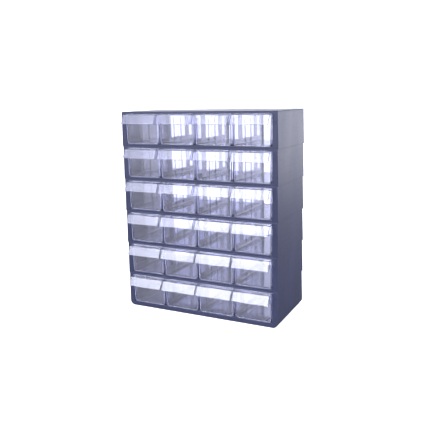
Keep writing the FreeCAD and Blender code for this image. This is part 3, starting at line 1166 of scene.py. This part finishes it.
@dataclass
class Drawer:
    """A clear drawer: tub, taller front plate, hooded pull lip, divider ribs and stop ears.

    Sizes are in millimetres; y is measured from the cabinet's face, z from the tier's foot.

    Attributes:
        finish: The clear plastic; edge_finish is its milky front rim.
        floor_z: Underside; rim_z, front_z and ear_z are tops of the tub, front and ears.
        half_rim: Half the tub's width at its rim; draft is how much its foot is narrower.
        proud: How far the front plate stands out of the face; overhang is its sideways reach.
        rim_width: Width of the front plate's raised rim; rim_out is its height.
        rib_middles: Places of the divider ribs, which start rib_drop below the rim.
        ear: Front and back of the stop ears.
        lip_path: Middle line of the pull lip in y, z; lip_reach is its foremost point's.
        gusset: Outline of the plates at the lip's ends in y, z.
        upstand: Corners in y, z of the strip that meets the header.
    """

    finish: Material
    edge_finish: Material
    floor_z: float = 4.5
    rim_z: float = 52.0
    front_z: float = 56.6
    ear_z: float = 59.5
    length: float = 125.0
    half_rim: float = 33.8
    draft: float = 0.5
    wall: float = 1.4
    floor: float = 1.6
    proud: float = 0.4
    front_thickness: float = 1.8
    overhang: float = 0.5
    rim_width: float = 2.0
    rim_out: float = 0.5
    round: float = 5.0
    bead_out: float = 0.5
    bead_height: float = 1.8
    rib_out: float = 0.7
    rib_drop: float = 3.0
    rib_middles: tuple = (44.7, 47.3, 70.7, 73.3)
    rim_edge: float = 0.3
    ear: Pair = (108.0, 114.0)
    lip_reach: float = 18.4
    lip_half: float = 34.7
    lip_wall: float = 1.4
    lip_path: tuple = ((0.3, 55.9), (-9.79, 57.05), (-17.46, 41.52))
    gusset: tuple = ((0.2, 56.1), (-9.75, 57.25), (-17.4, 41.75), (-16.9, 41.3), (0.2, 44.0))
    lip_bend: float = 1.5
    upstand: tuple = ((-1.7, 55.9), (-0.3, 59.0))
    soft: float = 0.35
    sink: float = 0.03
    round_steps: int = 8
    corner_steps: int = 4

    def _tub(self) -> Array:
        """The tub as one closed surface, from the outer floor over the rim to the inner floor.

        Rows run up the outside and down the inside. With the quarter turn a, the outer floor's
        edge is round * (1 - sin a) in and round * (1 - cos a) up. Shares at the stations widen
        rows for front plate and bead, raise them for front plate and ears, and draw the
        inner rows in for the ribs.

        Returns:
            Grid (rows, columns, 3).
        """
        at = TubStations.lay_out(self.rib_middles, self.ear, self.length - 2.7)
        height, edge = self.rim_z - self.floor_z, self.rim_edge
        turn, ease = arc_angles(self.round_steps), arc_angles(3)
        arc = len(turn)
        inner_round = self.round - self.wall
        bead_z = height - self.bead_height
        outer_dx = np.concatenate([self.round * (1 - np.sin(turn)), np.zeros(5)])
        outer_z = np.concatenate([self.round * (1 - np.cos(turn)),
                                  [height * 0.5, bead_z - edge, bead_z, bead_z + edge,
                                   height - edge]])
        rim_dx = np.concatenate([edge - edge * np.cos(ease)[1:],
                                 self.wall - edge + edge * np.sin(ease)])
        rim_z = height - edge + edge * np.concatenate([np.sin(ease)[1:], np.cos(ease)])
        inner_dx = np.concatenate([np.full(4, self.wall),
                                   self.wall + inner_round * (1 - np.sin(turn[::-1]))])
        inner_z = np.concatenate([[height - self.rib_drop + edge, height - self.rib_drop,
                                   height * 0.6, height * 0.3],
                                  self.floor + inner_round * (1 - np.cos(turn[::-1]))])
        dx = np.concatenate([outer_dx, rim_dx, inner_dx])
        z = np.concatenate([outer_z, rim_z, inner_z])
        rows = np.arange(len(dx))
        inside = rows >= len(outer_dx) + 3
        deep = rows >= len(outer_dx) + len(rim_dx)
        low_share = np.where(deep, np.clip((dx - self.wall) / inner_round, 0, 1),
                             np.clip(dx / self.round, 0, 1))
        rim_share = np.where(inside, np.clip(dx, 0, self.wall), np.clip(dx, 0, edge))
        front_in = np.where(deep, self.front_thickness + 0.3 * low_share,
                            rim_share + 0.4 * (rim_share > edge))
        back_in = np.where(deep, self.wall + 0.4 * low_share, rim_share)
        front_in[:arc] = back_in[:arc] = 0.5 * low_share[:arc]
        radius = np.where(deep, 0.5 - 0.3 * low_share, np.where(inside, 0.5, 1.2 - rim_share))
        half = self.half_rim - dx - (height - z) * self.draft / height
        plan = ring_rows(half, -self.proud + front_in, self.length - back_in, radius,
                         self.corner_steps, at.places)
        return self._featured(stacked(plan, z + self.floor_z), at, deep, z, dx)

    def _featured(self, grid: Array, at: TubStations, deep: Array, z: Array,
                  dx: Array) -> Array:
        """Widen, raise and draw in the tub's rows by the stations' shares.

        Args:
            grid: The plain tub.
            at: The stations.
            deep: Which rows lie on the inner wall or floor.
            z: Height of each row above the tub's floor.
            dx: Each row's distance in from the tub's side.

        Returns:
            The tub with its front plate, bead, ribs and ears.
        """
        height = self.rim_z - self.floor_z
        arc = self.corner_steps + 1
        front = np.concatenate([np.ones(arc), at.front, np.zeros(2 * arc), at.front[::-1],
                                np.ones(arc)])
        quiet = np.zeros(arc)
        ear, bead, rib = (np.concatenate([quiet, share, quiet, quiet, share[::-1], quiet])
                          for share in (at.ear, at.bead, at.rib))
        side = np.sign(grid[..., 0])
        outside = (~deep) & (dx < self.wall * 0.5)
        bead_rows = outside * np.clip((z - height + self.bead_height) / self.rim_edge, 0, 1)
        outer = np.where(~deep, np.clip(1 - (dx - self.rim_edge) / 0.4, 0, 1), 0)
        outer[:self.round_steps + 1] = 1.0
        grid[..., 0] += side * self.overhang * outer[:, None] * front
        grid[..., 0] += side * self.bead_out * bead_rows[:, None] * bead
        rim_rows = (~deep & (z > height - self.rim_edge - NEAR)).astype(float)
        raised = (self.front_z - self.rim_z) * front + (self.ear_z - self.rim_z) * ear
        grid[..., 2] += rim_rows[:, None] * raised
        rib_rows = deep & (z < height - self.rib_drop + NEAR)
        reach = np.maximum(self.wall + self.rib_out - dx, 0) * rib_rows
        grid[..., 0] -= side * reach[:, None] * rib
        return grid

    def _front_rim(self) -> Array:
        """Raised rim along the front plate's sides and foot, up into the ledge.

        The path runs up the right side from the round of the foot, and its mirror image down
        the left side comes before it. A ring about the path is an ellipse, (width / 2) cos a
        across and rim_out sin a forward; its back half is deeper and ends in the plate.

        Returns:
            Grid (rows, columns, 3).
        """
        half_width = self.rim_width / 2
        bend = self.round - half_width
        turn = arc_angles(self.round_steps)
        x = self.half_rim - self.draft + self.overhang - self.round + bend * np.sin(turn)
        z = half_width + bend * (1 - np.cos(turn))
        x, z = np.append(x, x[-1]), np.append(z, self.front_z - self.floor_z - 0.6)
        x += self.draft * z / (self.rim_z - self.floor_z)
        across = np.append(np.sin(turn), 1.0), np.append(-np.cos(turn), 0.0)
        path = np.column_stack([x, z, *across])
        path = np.concatenate([path[::-1] * (-1, 1, -1, 1), path])
        angle = np.arange(16) * math.tau / 16
        out = (half_width - self.sink) * np.cos(angle)
        forward = np.where(np.sin(angle) > 0, self.rim_out, 0.9) * np.sin(angle)
        y = np.broadcast_to(-self.proud - forward, (len(path), len(angle)))
        return np.stack([path[:, :1] + path[:, 2:3] * out, y,
                         self.floor_z + path[:, 1:2] + path[:, 3:] * out], axis=-1)

    def prototype(self) -> Mesh:
        """One drawer's mesh data in its cell's own frame, its parts joined into one skin.

        Returns:
            The mesh data, in metres.
        """
        lip = bent_plate(np.array(self.lip_path), self.lip_wall, [self.lip_bend], steps=6)
        gusset, half = np.array(self.gusset), self.lip_half
        near, far = -half + self.sink, -half + self.lip_wall
        (y0, z0), (y1, z1) = self.upstand
        parts = [("tub", self._tub()),
                 ("lip", outline_along(lip, -half, half, axis=0, soft=self.soft)),
                 ("left_gusset", outline_along(gusset, near, far, axis=0, soft=self.rim_edge)),
                 ("right_gusset", outline_along(gusset, -far, -near, axis=0, soft=self.rim_edge)),
                 ("upstand", rounded_bar((-half + 0.05, y0, z0), (half - 0.05, y1, z1))),
                 ("front_rim", self._front_rim())]
        pieces = []
        for name, grid in parts:
            mesh = ClosedMesh()
            mesh.add_grid(grid)
            data = mesh.to_data(name, np.zeros(3))
            for finish in (self.finish, self.edge_finish):
                data.materials.append(finish)
            if name == "front_rim":
                data.polygons.foreach_set("material_index", np.ones(len(data.polygons), int))
            pieces.append(linked(name, data))
        return joined(pieces, "drawer_skin")

    def build(self, skin: Mesh, tier: int, column: int) -> Piece:
        """Copy the drawer into its cell and bind it to its own body.

        Args:
            skin: The joined mesh data in the cell's own frame.
            tier: The tier's number from the bottom.
            column: The column's number from the left.

        Returns:
            The finished piece.
        """
        node = f"drawer_t{tier}_c{column}"
        low, high = (np.array(corner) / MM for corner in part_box(node))
        shift = np.array([(low[0] + high[0]) / 2, low[1] + self.lip_reach,
                          low[2] - self.floor_z]) * MM
        data = skin.copy()
        data.name = f"clear_{node}"
        points = np.empty(len(data.vertices) * 3)
        data.vertices.foreach_get("co", points)
        data.vertices.foreach_set("co", (points.reshape(-1, 3) + shift).ravel())
        data.update()
        return bound(shown(data, 40.0), node, node)


def joined(pieces: list[Piece], name: str) -> Mesh:
    """Unite closed pieces into one skin and remove them from the scene.

    Args:
        pieces: The pieces; the first takes the others.
        name: Name of the new mesh data.

    Returns:
        The joined mesh data.
    """
    first = pieces[0]
    for other in pieces[1:]:
        union = first.modifiers.new("join_" + other.name, "BOOLEAN")
        union.operation = "UNION"
        union.solver = "EXACT"
        union.object = other
    bpy.context.view_layer.update()
    evaluated = first.evaluated_get(bpy.context.evaluated_depsgraph_get())
    data = bpy.data.meshes.new_from_object(evaluated)
    data.name = name
    for piece in pieces:
        bpy.data.objects.remove(piece)
    return cleaned(data)


def bound(piece: Piece, body: str, node: str) -> Piece:
    """Bind a finished piece to its CAD body and hide the CAD node that it stands for.

    Args:
        piece: The piece.
        body: CAD body that it rides on.
        node: CAD node that it stands for.

    Returns:
        The piece.
    """
    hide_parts(node)
    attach(piece, body)
    log.info("built %s: %d faces", piece.name, len(piece.data.polygons))
    return piece


# ---------------------------------------------------------------- studio
@dataclass(frozen=True)
class GlowLobe:
    """A soft round patch of light in the surround.

    Its strength falls off as exp(focus * (cos(angle) - 1)) from its middle.

    Attributes:
        azimuth: Direction round the object, degrees; 0 is in front, positive to the right.
        elevation: Degrees above the horizon.
        strength: Radiance in its middle.
        focus: How quickly it falls off; larger is narrower.
    """

    azimuth: float
    elevation: float
    strength: float
    focus: float

    def add(self, make: NodeMaker, direction: Socket) -> Socket:
        """Add the patch's nodes.

        Args:
            make: Maker of nodes in the surround's tree.
            direction: Socket with the direction looked in.

        Returns:
            Socket with the patch's radiance.
        """
        a, e = math.radians(self.azimuth), math.radians(self.elevation)
        middle = (math.sin(a) * math.cos(e), -math.cos(a) * math.cos(e), math.sin(e))
        match = make.add("VectorMath", {0: direction, 1: middle}, operation="DOT_PRODUCT")
        short = make.calc("SUBTRACT", match.outputs["Value"], 1.0)
        fall = make.calc("EXPONENT", make.calc("MULTIPLY", short, self.focus))
        return make.calc("MULTIPLY", fall, self.strength)


@dataclass
class Studio:
    """Pale floor, a soft surround with a bright backdrop, and the camera.

    Attributes:
        floor: The floor's finish.
        lobes: Soft patches of light.
        light_colour: Colour of all the light.
        overhead: Radiance above the horizon; below is the part that is under it too.
        backdrop: Radiance added behind the cabinet.
        camera_place: Millimetres; camera_turn is in degrees about z, tip and roll.
        lens: Focal length on a sensor 36 mm wide.
        bounces: Most bounces of a ray; through_clear is for plain clear faces.
    """

    floor: FloorFinish = field(default_factory=FloorFinish)
    lobes: tuple = (GlowLobe(-20.0, 27.0, 8.6, 14.0), GlowLobe(-30.0, 23.0, 4.5, 40.0),
                    GlowLobe(163.0, 4.0, 1.0, 34.0), GlowLobe(95.0, 25.0, 2.8, 4.0),
                    GlowLobe(-30.0, -42.0, 2.4, 18.0))
    light_colour: Colour = (0.88, 0.90, 1.0, 1.0)
    overhead: float = 0.5
    below: float = 0.10
    backdrop: float = 0.95
    camera_place: Triple = (469.762, -931.882, 397.699)
    camera_turn: Triple = (26.464, 11.797, -1.147)
    lens: float = 47.129
    bounces: int = 16
    through_clear: int = 64

    def build(self) -> None:
        """Build the whole studio."""
        self._floor()
        self._world()
        self._camera()
        scene = bpy.context.scene
        scene.view_settings.view_transform = "Standard"
        scene.cycles.max_bounces = self.bounces
        scene.cycles.transmission_bounces = self.bounces
        scene.cycles.transparent_max_bounces = self.through_clear

    def _floor(self) -> None:
        """A wide disc whose middle lies under the cabinet."""
        sides, rings = 96, np.array([30.0, 5.0, 1.5, 0.4]) / MM
        mesh = ClosedMesh()
        mesh.add_grid(turned([(radius, 0.0) for radius in rings], 0.0, 0.0, sides), caps=False)
        mesh.faces.append(list(range((len(rings) - 1) * sides, len(rings) * sides)))
        data = mesh.to_data("floor", np.array([0.0, 0.0, -0.02]))
        data.materials.append(self.floor.build())
        piece = linked("floor", data)
        piece.visible_glossy = False
        piece.visible_diffuse = False

    def _world(self) -> None:
        """Cool light, dim below the horizon and brighter above and behind, with soft patches."""
        world = bpy.data.worlds.new("studio_surround")
        world.use_nodes = True
        make = NodeMaker(world.node_tree)
        direction = make.add("TexCoord").outputs["Generated"]
        parts = make.add("SeparateXYZ", {0: direction})
        rise = make.mapped(parts.outputs["Z"], (-0.20, -0.06), smooth=True)
        behind = make.mapped(parts.outputs["Y"], (-0.1, 0.7),
                             (self.overhead, self.overhead + self.backdrop), smooth=True)
        total = make.calc("MULTIPLY_ADD", rise, behind, self.below)
        for lobe in self.lobes:
            total = make.calc("ADD", total, lobe.add(make, direction))
        camera_ray = make.add("LightPath").outputs["Is Camera Ray"]
        light = make.add("Background",
                         {"Color": make.mixed(camera_ray, self.light_colour, WHITE),
                          "Strength": make.calc("MAXIMUM", total, camera_ray)})
        make.add("OutputWorld", {"Surface": light.outputs[0]})
        bpy.context.scene.world = world

    def _camera(self) -> None:
        """The camera: turned about z, tipped down, then rolled a little."""
        turn, tip, roll = (math.radians(x) for x in self.camera_turn)
        pose = (Matrix.Rotation(turn, 4, "Z") @ Matrix.Rotation(QUARTER - tip, 4, "X")
                @ Matrix.Rotation(roll, 4, "Z"))
        data = bpy.data.cameras.new("camera")
        data.lens = self.lens
        data.sensor_width = 36.0
        data.dof.use_dof = False
        data.clip_start, data.clip_end = 0.05, 60.0
        camera = linked("camera", data)
        camera.matrix_world = Matrix.Translation(Vector(self.camera_place) * MM) @ pose
        bpy.context.scene.camera = camera


def main() -> None:
    """Build the cabinet, its drawers and the studio."""
    logging.basicConfig(level=logging.INFO, format="%(name)s: %(message)s")
    effects = Effects()
    housing = HousingFinish().build(effects)
    clear = ClearFinish().build(effects)
    milky = ClearFinish("milky_edge", 0.76, (0.64, 0.65, 0.92, 1.0),
                        (0.16, 0.16, 0.24, 1.0)).build(effects)
    tiers = 6
    for number in range(1, tiers + 1):
        HousingTier(number, number == tiers, housing).build()
    TopCover(housing).build()
    drawer = Drawer(clear, milky)
    skin = drawer.prototype()
    for tier in range(1, tiers + 1):
        for column in range(1, CabinetSizes.columns + 1):
            drawer.build(skin, tier, column)
    Studio().build()


if __name__ == "__main__":
    main()
